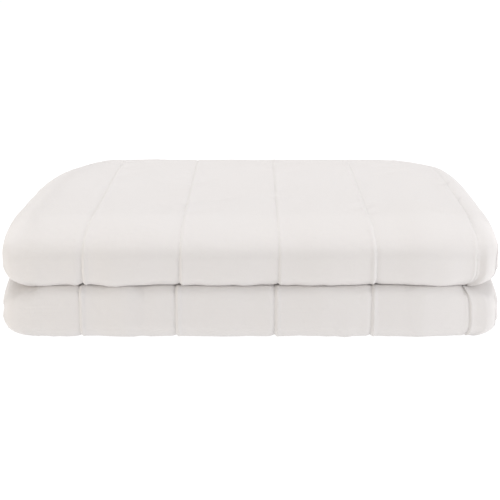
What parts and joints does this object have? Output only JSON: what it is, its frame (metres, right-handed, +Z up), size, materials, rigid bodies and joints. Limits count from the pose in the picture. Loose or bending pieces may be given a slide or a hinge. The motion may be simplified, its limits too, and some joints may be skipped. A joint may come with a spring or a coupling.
{
  "type": "folded weighted blanket",
  "caption": "Off-white channel-quilted weighted blanket, folded in half and then back and forth into a neat rectangular stack with soft rounded front bends.",
  "frame": {"origin": "centre of the stack's footprint, on the surface that it rests on", "axes": "+X along the stack's long side, from the half fold towards the long hems; +Y from the front bends towards the end hems; +Z up through the layers"},
  "size_m": [0.6478, 0.476, 0.1329],
  "materials": {
    "quilted_cloth": "matt, closely woven off-white cotton with a soft brushed face"
  },
  "bodies": {
    "root": {"blanket": "quilted_cloth"}
  },
  "joints": []
}
